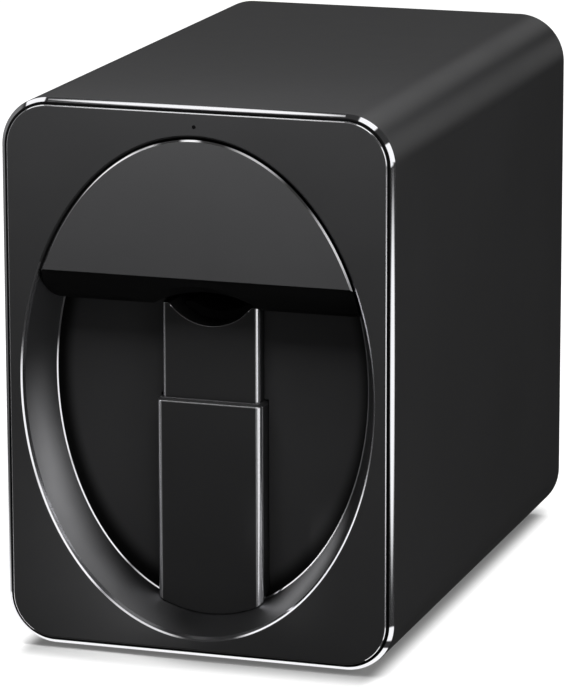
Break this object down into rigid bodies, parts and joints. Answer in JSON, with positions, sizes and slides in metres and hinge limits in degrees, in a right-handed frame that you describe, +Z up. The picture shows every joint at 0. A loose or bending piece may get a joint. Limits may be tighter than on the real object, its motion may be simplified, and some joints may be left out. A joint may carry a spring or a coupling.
{
  "type": "digital nail art printer",
  "caption": "Tabletop nail art printer: elliptical front recess, spring-loaded finger rest under a pull-off hood, and a two-axis carriage that moves an ink cartridge over the nail.",
  "frame": {"origin": "on the surface that the feet stand on, under the middle of the bounding box", "axes": "+Z up, -Y to the front (the side with the recess), +X to the right seen from the front"},
  "size_m": [0.125, 0.1976, 0.1735],
  "materials": {
    "shell_black": "black anodised, satin, polished bevel",
    "panel_black": "black anodised, matt, polished bevels",
    "moulding_black": "matt moulded",
    "hood_black": "satin moulded",
    "rest_black": "satin moulded, bright edges",
    "rubber_black": "matt rubber",
    "steel": "ground steel",
    "spring_steel": "drawn wire",
    "frame_steel": "black coated sheet",
    "cast_grey": "die cast",
    "carriage_grey": "moulded, glass filled",
    "cartridge_black": "moulded",
    "nozzle_gold": "plated",
    "bronze": "sintered",
    "magnet_nickel": "nickel plated",
    "board_green": "solder mask",
    "chip_black": "moulded packages",
    "lens_glass": "coated lens",
    "light_white": "light emitting package",
    "lens_smoked": "smoked cap, unlit",
    "port_metal": "stamped",
    "screw_black": "black oxide"
  },
  "bodies": {
    "housing": {"outer_shell": "shell_black", "rubber_feet": "rubber_black", "base_screws": "screw_black", "front_panel": "panel_black", "recess_bezel": "moulding_black", "recess_back_wall": "moulding_black", "catch_plates": "steel", "status_light": "lens_smoked", "status_board": "board_green", "rest_sleeve": "rest_black", "rest_spring": "spring_steel", "base_plate": "moulding_black", "left_side_frame": "frame_steel", "right_side_frame": "frame_steel", "front_bulkhead": "frame_steel", "rear_bulkhead": "frame_steel", "left_guide_rod": "steel", "right_guide_rod": "steel", "feed_motor": "steel", "service_shelf": "frame_steel", "cap_holder": "carriage_grey", "cap_pad": "rubber_black", "nozzle_wiper": "rubber_black", "camera_bracket": "frame_steel", "camera_board": "board_green", "camera_lens": "lens_glass", "camera_lights": "light_white", "board_standoffs": "port_metal", "mainboard": "board_green", "board_components": "chip_black", "dc_jack": "chip_black", "usb_socket": "port_metal", "power_switch": "chip_black", "rear_cover": "moulding_black", "rear_screws": "screw_black"},
    "hood": {"hood_cover": "hood_black", "hood_magnets": "magnet_nickel"},
    "rest": {"finger_rest": "rest_black", "finger_pad": "rubber_black"},
    "screw": {"lead_screw": "steel"},
    "gantry": {"gantry_frame": "cast_grey", "gantry_bushes": "bronze", "lead_nut": "bronze", "lower_cross_rod": "steel", "upper_cross_rod": "steel", "scan_motor": "steel", "idler_pin": "steel", "scan_belt": "rubber_black"},
    "drive_wheel": {"drive_pulley": "cast_grey"},
    "idler_wheel": {"idler_pulley": "cast_grey"},
    "carriage": {"print_carriage": "carriage_grey", "carriage_bushes": "bronze", "ink_cartridge": "cartridge_black", "nozzle_plate": "nozzle_gold", "latch_pin": "steel"},
    "latch": {"cartridge_latch": "carriage_grey"},
    "button": {"power_button": "rest_black"}
  },
  "joints": [
    {"name": "finger_rest_press", "type": "slide", "parent": "housing", "child": "rest", "axis": [0, 0, 1], "range_m": [-0.022, 0], "stiffness_N_per_m": 200, "springref_m": 0.012, "deforming": ["rest_spring"]},
    {"name": "hood_pull", "type": "slide", "parent": "housing", "child": "hood", "axis": [0, -1, 0], "range_m": [0, 0.022]},
    {"name": "gantry_travel", "type": "slide", "parent": "housing", "child": "gantry", "axis": [0, 1, 0], "range_m": [-0.063, 0]},
    {"name": "lead_screw_spin", "type": "hinge", "parent": "housing", "child": "screw", "pos_m": [0.043, -0.02075, 0.12], "axis": [0, 1, 0], "continuous": true},
    {"name": "carriage_travel", "type": "slide", "parent": "gantry", "child": "carriage", "axis": [1, 0, 0], "range_m": [-0.015, 0.015]},
    {"name": "drive_pulley_spin", "type": "hinge", "parent": "gantry", "child": "drive_wheel", "pos_m": [-0.042, 0.06225, 0.154], "axis": [0, 1, 0], "range_deg": [-150, 150]},
    {"name": "idler_pulley_spin", "type": "hinge", "parent": "gantry", "child": "idler_wheel", "pos_m": [0.042, 0.06225, 0.154], "axis": [0, 1, 0], "range_deg": [-150, 150]},
    {"name": "cartridge_latch_swing", "type": "hinge", "parent": "carriage", "child": "latch", "pos_m": [0, 0.04765, 0.1525], "axis": [-1, 0, 0], "range_deg": [0, 40]},
    {"name": "power_button_press", "type": "slide", "parent": "housing", "child": "button", "axis": [0, -1, 0], "range_m": [0, 0.0012], "stiffness_N_per_m": 400, "springref_m": -0.001}
  ],
  "couplings": [
    {"joint": "lead_screw_spin", "follows": "gantry_travel", "rad_per_m": -628.32},
    {"joint": "drive_pulley_spin", "follows": "carriage_travel", "rad_per_m": -172.41},
    {"joint": "idler_pulley_spin", "follows": "carriage_travel", "rad_per_m": -172.41}
  ]
}
